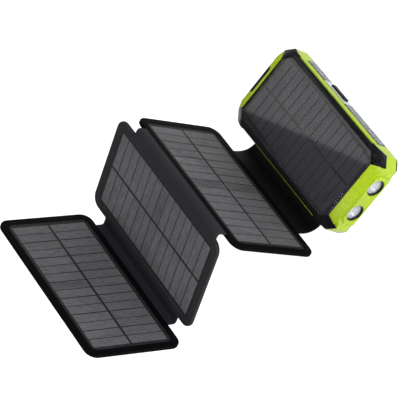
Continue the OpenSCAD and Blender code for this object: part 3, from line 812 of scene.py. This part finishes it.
@dataclass
class PanelSkin:
    """The leather that binds one solar panel, front and back, in one pressed form."""

    place: PanelPlace
    finish: Finish
    corner: float = 9 * MM
    border: float = 6 * MM
    window_corner: float = 5.5 * MM
    floor: float = 0.55 * MM
    crown: float = 0.9 * MM
    seam: float = 2.2 * MM
    seam_depth: float = 0.16 * MM
    seam_half: float = 0.35 * MM
    waist: float = 0.12 * MM
    lip: tuple[tuple[float, float], ...] = (
        (0.45 * MM, 0.0), (0.12 * MM, 0.05 * MM), (0.0, 0.22 * MM))
    steps: int = 8

    def _section(self) -> list[tuple[float, float]]:
        """The form's section from the middle of the back to the window.

        Returns:
            Points as (distance in from the outline, height above the middle plane).
        """
        top = self.place.thickness / 2
        edge = [(self.crown * (1 - math.sin(a)), top - self.crown * (1 - math.cos(a)))
                for a in (math.radians(d) for d in (0, 22.5, 45, 67.5, 90))]
        painted_recess_shade = [(self.seam + self.seam_half, top), (self.seam, top - self.seam_depth),
                  (self.seam - self.seam_half, top)]
        upper = painted_recess_shade + edge
        back = [(d, -z) for d, z in [(self.border, top), *upper]]
        front = [(d, z) for d, z in reversed(upper)]
        lip = [(self.border - out, top - down) for out, down in self.lip]
        return back + [(self.waist, 0.0)] + front + lip + [(self.border, self.floor)]

    def _corner(self, inset: float) -> tuple[float, float, float]:
        """Gives the corner of the outline at a distance in from the panel's edge.

        Args:
            inset: The distance.

        Returns:
            The X and Y of the corner arc's middle, and the arc's radius.
        """
        share = (self.window_corner - self.corner) / self.border
        radius = self.corner + share * inset
        back = inset + radius
        return (self.place.length / 2 - back, self.place.width / 2 - back, radius)

    def build(self) -> bpy.types.Object:
        """Extrudes the skin from its back, loop by loop, and puts it in its place.

        Returns:
            The skin.
        """
        section = self._section()
        first = section[0][0]
        size = (self.place.length - 2 * first, self.place.width - 2 * first)
        Bench.clear()
        bpy.ops.mesh.primitive_plane_add(size=1, location=(0, 0, section[0][1]))
        bpy.context.object.scale = (*size, 1)
        piece = Bench.named(f"{self.place.body}_leather")
        with Bench.edit(piece):
            bpy.ops.mesh.bevel(affect="VERTICES", offset=self._corner(first)[2],
                               segments=self.steps)
            Bench.pick(piece, Part.FACES, lambda f: True)
            for (before, _), (inset, height) in zip(section, section[1:]):
                bpy.ops.mesh.extrude_region_move()
                self._shift(piece, self._corner(before), self._corner(inset), height)
            bpy.ops.mesh.select_all(action="SELECT")
            bpy.ops.mesh.normals_make_consistent(inside=False)
        piece.matrix_world = self.place.matrix
        Bench.hold(piece)
        bpy.ops.object.transform_apply(location=True, rotation=True, scale=True)
        Bench.smooth(piece, 40)
        self.finish.on(piece)
        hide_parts(f"{self.place.body}_back", f"{self.place.body}_front")
        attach(piece, self.place.body)
        return piece

    @staticmethod
    def _shift(piece: bpy.types.Object, before: tuple[float, float, float],
               after: tuple[float, float, float], height: float) -> None:
        """Moves the selected loop from one rounded outline to another one.

        Args:
            piece: The skin, open in edit mode.
            before: The corner of the outline that the loop is on.
            after: The corner of the outline that it goes to.
            height: The loop's new height.
        """
        mesh = bmesh.from_edit_mesh(piece.data)
        for vertex in (v for v in mesh.verts if v.select):
            for i in (0, 1):
                side = math.copysign(1, vertex.co[i])
                turn = (vertex.co[i] - side * before[i]) / before[2]
                vertex.co[i] = side * after[i] + turn * after[2]
            vertex.co.z = height
        bmesh.update_edit_mesh(piece.data)


@dataclass
class Strap:
    """A strip of leather that joins two pieces and bends between them."""

    name: str
    length: float
    middle: float
    start: Vector
    start_way: Vector
    end: Vector
    end_way: Vector
    bodies: tuple[str, str]
    stands_for: tuple[str, ...]
    rests_on: tuple[str, str]
    pull: tuple[float, float] = (0.6, 0.6)
    thickness: float = 1.2 * MM
    edge_share: float = 0.3
    reach: float = 1.2 * MM
    part: tuple[float, float] = (0.0, 1.0)
    finish: Finish = STRAP
    along: int = 28
    across: int = 30

    def path(self, share: float) -> Vector:
        """Finds the middle of the leather's thickness on its way from start to end.

        Args:
            share: How far along, from 0 to 1.

        Returns:
            The point, on a smooth curve that leaves both pieces straight.
        """
        gap = (self.end - self.start).length
        a, d = self.start, self.end
        b = a + self.start_way * gap * self.pull[0]
        c = d - self.end_way * gap * self.pull[1]
        u = 1 - share
        return a * u ** 3 + b * 3 * u * u * share + c * 3 * u * share * share + d * share ** 3

    def point(self, share: float) -> Vector:
        """Finds a point of the leather with what is held in the pieces at its ends.

        Args:
            share: How far along the whole leather, from 0 to 1.

        Returns:
            The point, on the path or on a straight stretch into a piece. An end where the
            leather is cut into two halves has no such stretch.
        """
        low, high = self.part
        before = self.reach if low == 0 else 0.0
        after = self.reach if high == 1 else 0.0
        whole = (self.end - self.start).length * (high - low) + before + after
        run = share * whole
        if run < before:
            return self.start - self.start_way * (before - run)
        if run > whole - after:
            return self.end + self.end_way * (run - whole + after)
        return self.path(low + (high - low) * (run - before) / (whole - before - after))

    def build(self) -> bpy.types.Object:
        """Makes the strip from a flat grid that is laid along its path, and thickens it.

        Returns:
            The strip.
        """
        Bench.clear()
        bpy.ops.mesh.primitive_grid_add(x_subdivisions=self.across,
                                        y_subdivisions=self.along, size=1)
        piece = Bench.named(self.name)
        for vertex in piece.data.vertices:
            place = self.point(vertex.co.y + 0.5)
            vertex.co = (self.middle + vertex.co.x * self.length, place.y, place.z)
        Bench.modify(piece, "SOLIDIFY", thickness=self.thickness, offset=0.0,
                     use_even_offset=True)
        with Bench.edit(piece):
            bpy.ops.mesh.normals_make_consistent(inside=False)
        Bench.soften(piece, self.thickness * self.edge_share, 2, 50)
        self.finish.on(piece)
        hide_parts(*self.stands_for)
        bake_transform(piece)
        return piece


@dataclass
class Leather:
    """All of the leather: three panel skins, two straps and the spine."""

    places: dict[str, PanelPlace]
    spine_length: float = 100 * MM
    spine_thickness: float = 0.85 * MM
    strap_thickness: float = 1.2 * MM
    strap_sink: float = 0.1 * MM

    def _between(self, first: str, second: str, node: str, pull: tuple[float, float],
                 finish: Finish) -> Strap:
        """Draws the strap between two neighbouring panels, as long as its CAD node.

        Args:
            first: The panel nearer to the power bank.
            second: The one further out.
            node: The strap's CAD node.
            pull: How straight the strap leaves each of them.
            finish: Its finish.

        Returns:
            The strap, not built yet.
        """
        a, b = self.places[first], self.places[second]
        low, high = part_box(node)
        above = (a.thickness - self.strap_thickness) / 2 - self.strap_sink
        return Strap(f"{node}_leather", high.x - low.x, (low.x + high.x) / 2,
                     a.point(a.width / 2, above), a.lead, b.point(-b.width / 2, above), b.lead,
                     (first, second), (node,), (f"{first}_leather", f"{second}_leather"), pull,
                     self.strap_thickness, finish=finish)

    def build(self) -> list[bpy.types.Object]:
        """Makes every leather piece.

        Returns:
            The finished pieces.
        """
        # Panel 2's leather is painted lighter, as painted light; panels 1 and 3 keep the black.
        finishes = (LEATHER, LEATHER_PAINTED_LIT, LEATHER)
        made = [PanelSkin(*pair).build() for pair in zip(self.places.values(), finishes)]
        # Strip 1-2 takes the leather painted lighter too, as painted light.
        straps = (("panel_1", "panel_2", "strip_1_2", (0.5, 0.75), LEATHER_PAINTED_LIT),
                  ("panel_2", "panel_3", "strip_2_3", (0.6, 0.6), STRAP))
        made += [self._between(*strap).build() for strap in straps]
        return made + self._spine()

    def _spine(self) -> list[bpy.types.Object]:
        """Makes the spine, which sags from under the power bank up to panel 1.

        Returns:
            Its two halves, which meet in the middle.
        """
        first = self.places["panel_1"]
        tab_low, tab_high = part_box("spine_tab")
        level = (tab_low.z + tab_high.z) / 2
        start = Vector((0, tab_low.y - MM, level))
        common = dict(length=self.spine_length, middle=0.0, start=start,
                      start_way=Vector((0, -1, 0)), end=first.point(-first.width / 2),
                      end_way=first.lead, pull=(0.5, 0.5), thickness=self.spine_thickness,
                      finish=SPINE)
        lower = Strap("spine_lower_leather", bodies=("power_bank", "spine"), part=(0.0, 0.5),
                      stands_for=("spine_tab", "spine_ribbon"), reach=tab_high.y - tab_low.y,
                      rests_on=("black_back_cover", "panel_1_leather"), **common)
        upper = Strap("spine_upper_leather", bodies=("spine", "panel_1"), part=(0.5, 1.0),
                      stands_for=("spine_leather",),
                      rests_on=("spine_lower_leather", "panel_1_leather"), **common)
        return [lower.build(), upper.build()]


# ---------------------------------------------------------------- solar panels


@dataclass
class SolarPanels:
    """The cells, boards and laminates of the three panels and of the power bank's top."""

    places: dict[str, PanelPlace]
    edge: float = 0.12 * MM
    top_edge: float = 0.25 * MM

    def build(self) -> list[bpy.types.Object]:
        """Dresses the CAD cells and boards and rounds the edges of each laminate.

        Returns:
            The laminates.
        """
        made = []
        nodes = frame["nodes"]
        for body in self.places:
            PANEL_CELL.on(nodes[f"{body}_cells"])
            BACKING.on(nodes[f"{body}_board"])
            STIFF.on(nodes[f"{body}_stiffener"])
            made.append(self._film(body, body, LAMINATE, self.edge))
        TOP_CELL.on(nodes["top_solar_cells"])
        TOP_BACKING.on(nodes["top_solar_board"])
        return [*made, self._film("top", "power_bank", TOP_LAMINATE, self.top_edge)]

    @staticmethod
    def _film(start: str, body: str, finish: Finish, edge: float) -> bpy.types.Object:
        """Makes one clear laminate with rounded edges.

        Args:
            start: How the names of its node and of the piece start.
            body: The body that it rides on.
            finish: Its finish.
            edge: How much its edges are rounded.

        Returns:
            The laminate.
        """
        film = Bench.copy_of(f"{start}_laminate", f"{start}_film")
        Bench.soften(film, edge)
        finish.on(film)
        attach(film, body)
        return film


# ---------------------------------------------------------------- power bank


@dataclass(frozen=True)
class Shell:
    """A CAD node whose edges are rounded: its new name, its finish and its slot."""

    node: str
    name: str
    finish: Finish
    slot: str
    body: str = "power_bank"
    edge: float = 0.3 * MM
    steps: int = 3


@dataclass
class PowerBank:
    """The power bank's own pieces: its shells, strip, button, ports and insides."""

    shells: tuple[Shell, ...] = (
        Shell("mid_frame", "green_frame", GREEN, "green_plastic", edge=0.18 * MM),
        Shell("top_bezel", "black_bezel", BLACK, "black_plastic", edge=0.3 * MM),
        Shell("back_cover", "black_back_cover", BACK, "black_plastic", edge=0.3 * MM),
        Shell("side_trim", "ribbed_trim", TRIM, "silver_trim", edge=0.16 * MM, steps=2),
        Shell("button_plate", "centre_plate", PLATE, "silver_plate", edge=0.2 * MM),
        Shell("trim_screws", "trim_screw_heads", STEEL, "screw_steel", edge=0.12 * MM, steps=2),
        Shell("case_screws", "case_screw_heads", STEEL, "screw_steel", edge=0.12 * MM, steps=2),
        Shell("power_button", "push_button", RUBBER, "black_plastic", "button", 0.5 * MM),
        Shell("light_pipes", "indicator_pipes", LENS, "lamp_lens", edge=0.1 * MM, steps=2),
        Shell("port_fascia", "socket_fascia", BLACK, "black_plastic", edge=0.15 * MM, steps=2),
        Shell("usb_shells", "usb_cans", SOCKET, "socket_steel", edge=0.08 * MM, steps=2),
        Shell("micro_usb_socket", "micro_usb_can", SOCKET, "socket_steel", edge=0.08 * MM, steps=2),
    )
    insides: tuple[tuple[str, Finish], ...] = (
        ("lamp_boards", BOARD), ("button_board", BOARD), ("tact_switch", BLACK),
        ("usb_tongues", TONGUE), ("main_board", BOARD), ("power_coils", COIL),
        ("battery_cells", POUCH), ("foam_pads", FOAM),
    )
    gasket_thickness: float = 0.24 * MM

    def build(self) -> list[bpy.types.Object]:
        """Makes the rounded shells and dresses the pieces inside.

        Returns:
            The new pieces.
        """
        made = []
        for shell in self.shells:
            piece = Bench.copy_of(shell.node, shell.name)
            Bench.soften(piece, shell.edge, shell.steps, 25)
            shell.finish.on(piece)
            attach(piece, shell.body)
            made.append(piece)
        self._gasket(bpy.data.objects["black_bezel"])
        for node, finish in self.insides:
            finish.on(frame["nodes"][node])
        return made

    def _gasket(self, bezel: bpy.types.Object) -> None:
        """Fills the gap between the bezel and the laminate with a thin black gasket."""
        source = frame["nodes"]["top_laminate"]
        piece = bpy.data.objects.new("gasket", source.data.copy())
        bpy.context.scene.collection.objects.link(piece)
        with Bench.edit(piece, Part.FACES):
            bpy.ops.mesh.remove_doubles(threshold=WELD)
            Bench.pick(piece, Part.FACES, lambda f: abs(f.normal.z) > 0.5)
            bpy.ops.mesh.delete(type="FACE")
        Bench.modify(piece, "SOLIDIFY", thickness=self.gasket_thickness, offset=1.0)
        BLACK.on(piece)
        Bench.joined(bezel, piece)


@dataclass
class PortCover:
    """The rubber cover of the ports, with a sunk field inside a rim, and grip ribs."""

    rim: float = 1.2 * MM
    field_depth: float = 0.5 * MM
    least_field: float = 50 * MM * MM
    edge: float = 0.3 * MM
    ribs: int = 5
    rib_start: float = 5 * MM
    rib_pitch: float = 1.6 * MM
    rib_size: tuple[float, float, float] = (0.6 * MM, 0.8 * MM, 4.8 * MM)
    rib_sink: float = 0.1 * MM
    rib_edge: float = 0.2 * MM

    def build(self) -> list[bpy.types.Object]:
        """Sinks the field into the cover's outer face and sets the ribs in it.

        Returns:
            The cover.
        """
        piece = Bench.copy_of("port_cover", "rubber_port_cover")
        with Bench.edit(piece):
            Bench.pick(piece, Part.FACES,
                       lambda f: f.normal.x < -0.99 and f.calc_area() > self.least_field)
            bpy.ops.mesh.inset(thickness=self.rim)
            bpy.ops.mesh.extrude_region_move(
                TRANSFORM_OT_translate={"value": (self.field_depth, 0, 0)})
        Bench.soften(piece, self.edge, 3)
        Bench.joined(piece, *self._ribs())
        RUBBER.on(piece)
        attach(piece, "cover")
        return [piece]

    def _ribs(self) -> list[bpy.types.Object]:
        """Makes the ribs that a fingertip finds.

        Returns:
            The ribs.
        """
        made = []
        low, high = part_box("port_cover")
        size = Vector(self.rib_size)
        for i in range(self.ribs):
            y = high.y - self.rib_start - self.rib_pitch * i
            corner = Vector((low.x + self.rib_sink, y, (low.z + high.z - size.z) / 2))
            rib = Bench.block(f"rib_{i}", corner, corner + size)
            Bench.soften(rib, self.rib_edge, 2)
            made.append(rib)
        return made


@dataclass
class Flashlight:
    """One of the two lamps: its ring, reflector, LED and lens."""

    side: int
    segments: int = 56
    gap: float = 0.1 * MM
    edge: float = 0.2 * MM
    crown: float = 0.35 * MM
    crown_rim: float = 0.6 * MM
    bowl_gap: float = 0.05 * MM
    bowl_floor: float = 0.4 * MM
    bowl_rim: float = 0.96
    bowl_hole: float = 0.42
    led_step: float = 0.4 * MM
    led_top: float = 0.6
    led_edge: float = 0.12 * MM

    def build(self) -> list[bpy.types.Object]:
        """Turns the lamp's pieces at the place of their CAD nodes.

        Returns:
            The new pieces.
        """
        low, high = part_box("lamp_rings")
        radius = (high.z - low.z) / 2
        middle = self.side * ((high.y - low.y) / 2 - radius)
        centre = Vector((high.x, middle, (high.z + low.z) / 2))
        lens_low, lens_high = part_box("lamp_lenses")
        inner = (lens_high.z - lens_low.z) / 2 + self.gap
        front, back = lens_high.x - high.x, lens_low.x - high.x
        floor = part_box("lamp_reflectors")[0].x - high.x
        tag = "left" if self.side < 0 else "right"
        forms = {"ring": self._ring(inner, radius, high.x - low.x),
                 "lens": self._lens(inner - self.gap, front, back),
                 "reflector": self._reflector(inner - self.gap, back, floor)}
        turned = {part: Bench.spun(f"lamp_{part}_{tag}", profile, centre, self.segments)
                  for part, profile in forms.items()}
        made = [turned["ring"], turned["reflector"], self._led(tag, centre), turned["lens"]]
        nodes = ("lamp_rings", "lamp_reflectors", "lamp_leds", "lamp_lenses")
        for piece, finish, node in zip(made, (RING, MIRROR, LED, LENS), nodes):
            Bench.smooth(piece, 35)
            finish.on(piece)
            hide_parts(node)
            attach(piece, "power_bank")
        return made

    def _ring(self, inner: float, outer: float, depth: float) -> list[tuple[float, float]]:
        """Outlines the ring, with both edges of its face rounded.

        Args:
            inner: Its inner radius.
            outer: Its outer radius.
            depth: How deep it is.

        Returns:
            Points as (distance along X, radius).
        """
        edge, chord = self.edge, 0.3 * self.edge
        return [(-depth, inner), (-depth, outer), (-edge, outer), (-chord, outer - chord),
                (0, outer - edge), (0, inner + edge), (-chord, inner + chord), (-edge, inner)]

    def _lens(self, rim: float, front: float, back: float) -> list[tuple[float, float]]:
        """Outlines the lens, with a crowned face.

        Args:
            rim: Its radius.
            front: Where its flat edge's face is, along X.
            back: Where its back is, along X.

        Returns:
            Points as (distance along X, radius).
        """
        turns = [math.radians(d) for d in (90, 72, 54, 36, 18, 0)]
        crown = [(front + self.crown * math.cos(a), (rim - self.crown_rim) * math.sin(a))
                 for a in turns]
        return [(back, 0), (back, rim), (front - self.edge, rim), (front, rim - self.edge), *crown]

    def _reflector(self, rim: float, back: float, floor: float) -> list[tuple[float, float]]:
        """Outlines the reflector, a bowl with a hole for the LED.

        Args:
            rim: Its radius.
            back: Where the lens's back is, along X.
            floor: Where the reflector's own back is, along X.

        Returns:
            Points as (distance along X, radius).
        """
        top = back - self.bowl_gap
        depth = top - floor - self.bowl_floor
        bowl = [(top - depth * (1 - share * share), rim * self.bowl_rim * share)
                for share in (1, 0.9, 0.8, 0.7, 0.6, 0.5, self.bowl_hole)]
        base = floor + self.gap
        return [(top, rim), *bowl, (base, rim * self.bowl_hole), (base, rim)]

    def _led(self, tag: str, centre: Vector) -> bpy.types.Object:
        """Makes the LED, a block with a smaller step on its face.

        Args:
            tag: Which lamp it is in.
            centre: The middle of the lamp's face.

        Returns:
            The LED.
        """
        low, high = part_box("lamp_leds")
        half = (high.z - low.z) / 2
        led = Bench.block(f"lamp_led_{tag}", Vector((low.x, centre.y - half, centre.z - half)),
                          Vector((high.x - self.led_step, centre.y + half, centre.z + half)))
        with Bench.edit(led, Part.FACES):
            Bench.pick(led, Part.FACES, lambda f: f.normal.x > 0.9)
            bpy.ops.mesh.inset(thickness=self.led_step)
            bpy.ops.mesh.extrude_region_move(
                TRANSFORM_OT_translate={"value": (self.led_step, 0, 0)})
            bpy.ops.transform.resize(value=(1, self.led_top, self.led_top))
        Bench.soften(led, self.led_edge)
        return led


# ---------------------------------------------------------------- studio


@dataclass(frozen=True)
class Card:
    """A soft rectangular light that faces a target."""

    name: str
    place: tuple[float, float, float]
    target: tuple[float, float, float]
    size: tuple[float, float]
    power: float
    turn: float = 0.0

    def build(self) -> None:
        """Adds the light, turned about its own axis by turn, in degrees."""
        light = bpy.data.lights.new(self.name, "AREA")
        light.shape = "RECTANGLE"
        light.size, light.size_y = self.size
        light.energy = self.power
        lamp = bpy.data.objects.new(self.name, light)
        bpy.context.scene.collection.objects.link(lamp)
        way = Vector(self.target) - Vector(self.place)
        turned = way.to_track_quat("-Z", "Y").to_matrix().to_4x4()
        lamp.matrix_world = (Matrix.Translation(self.place) @ turned
                             @ Matrix.Rotation(math.radians(self.turn), 4, "Z"))


@dataclass
class Studio:
    """Camera, floor and soft light."""

    aim: tuple[float, float, float] = (-4.88 * MM, -83.11 * MM, 67.25 * MM)
    distance: float = 2.027
    azimuth: float = 27.68
    elevation: float = 48.14
    roll: float = 72.48
    lens: float = 237.98
    sensor: float = 36.0
    near: float = 0.05
    far: float = 50.0
    floor_size: float = 12.0
    floor_level: float = -0.05 * MM
    floor_tone: float = 0.3
    floor_glow: float = 1.0
    sky: float = 0.12
    cards: tuple[Card, ...] = (
        Card("key", (1.1, 1.8, 1.3), (0, 0, 0.05), (1.2, 1.2), 40.0),
        Card("fill", (2.0, -0.6, 0.9), (0, 0, 0), (1.2, 0.8), 20.0),
        Card("over", (-0.2, -1.3, 2.2), (0, -0.1, 0.08), (0.9, 0.9), 20.0),
        Card("window", (-1.435, 0.057, 1.577), (-1.435, 0.057, 0), (1.1, 1.3), 6.5, 21.5),
    )

    def camera(self) -> None:
        """Adds the camera, by its angles in degrees: from +X to +Y, above the floor, and roll."""
        az, el = math.radians(self.azimuth), math.radians(self.elevation)
        out = Vector((math.cos(az) * math.cos(el), math.sin(az) * math.cos(el), math.sin(el)))
        data = bpy.data.cameras.new("camera")
        data.lens, data.sensor_width = self.lens, self.sensor
        data.clip_start, data.clip_end = self.near, self.far
        eye = bpy.data.objects.new("camera", data)
        bpy.context.scene.collection.objects.link(eye)
        turned = (-out).to_track_quat("-Z", "Y").to_matrix().to_4x4()
        eye.matrix_world = (Matrix.Translation(Vector(self.aim) + out * self.distance) @ turned
                            @ Matrix.Rotation(math.radians(-self.roll), 4, "Z"))
        bpy.context.scene.camera = eye

    def floor(self) -> None:
        """Adds a plain near-white floor that glows a little, so that shadows stay faint."""
        Bench.clear()
        bpy.ops.mesh.primitive_plane_add(size=self.floor_size, location=(0, 0, self.floor_level))
        ground = Bench.named("floor")
        material = bpy.data.materials.new("floor")
        material.use_nodes = True
        shader = material.node_tree.nodes["Principled BSDF"]
        tone = (self.floor_tone,) * 3 + (1,)
        for socket, value in (("Base Color", tone), ("Roughness", 0.9),
                              ("Specular IOR Level", 0.1), ("Emission Color", (1, 1, 1, 1)),
                              ("Emission Strength", self.floor_glow)):
            shader.inputs[socket].default_value = value
        ground.data.materials.append(material)

    def light(self) -> None:
        """Adds the sky and the soft lights."""
        world = bpy.data.worlds.new("sky")
        bpy.context.scene.world = world
        world.use_nodes = True
        ground = world.node_tree.nodes["Background"]
        ground.inputs["Color"].default_value = (1, 1, 1, 1)
        ground.inputs["Strength"].default_value = self.sky
        for card in self.cards:
            card.build()

    def build(self) -> None:
        """Sets up the whole studio."""
        self.camera()
        self.floor()
        self.light()
        bpy.context.scene.view_settings.view_transform = "Standard"


def main() -> None:
    """Builds the studio and then the object, one sub-assembly after the other."""
    logging.basicConfig(level=logging.INFO, format="%(name)s: %(message)s")
    Studio().build()
    places = {body: PanelPlace.of(body) for body in ("panel_1", "panel_2", "panel_3")}
    makers = {"solar panels": SolarPanels(places), "power bank": PowerBank(),
              "port cover": PortCover(), "left flashlight": Flashlight(-1),
              "right flashlight": Flashlight(1), "leather": Leather(places)}
    for name, maker in makers.items():
        for piece in maker.build():
            LOG.info("%s: %s, %d faces", name, piece.name, len(piece.data.polygons))


if __name__ == "__main__":
    main()
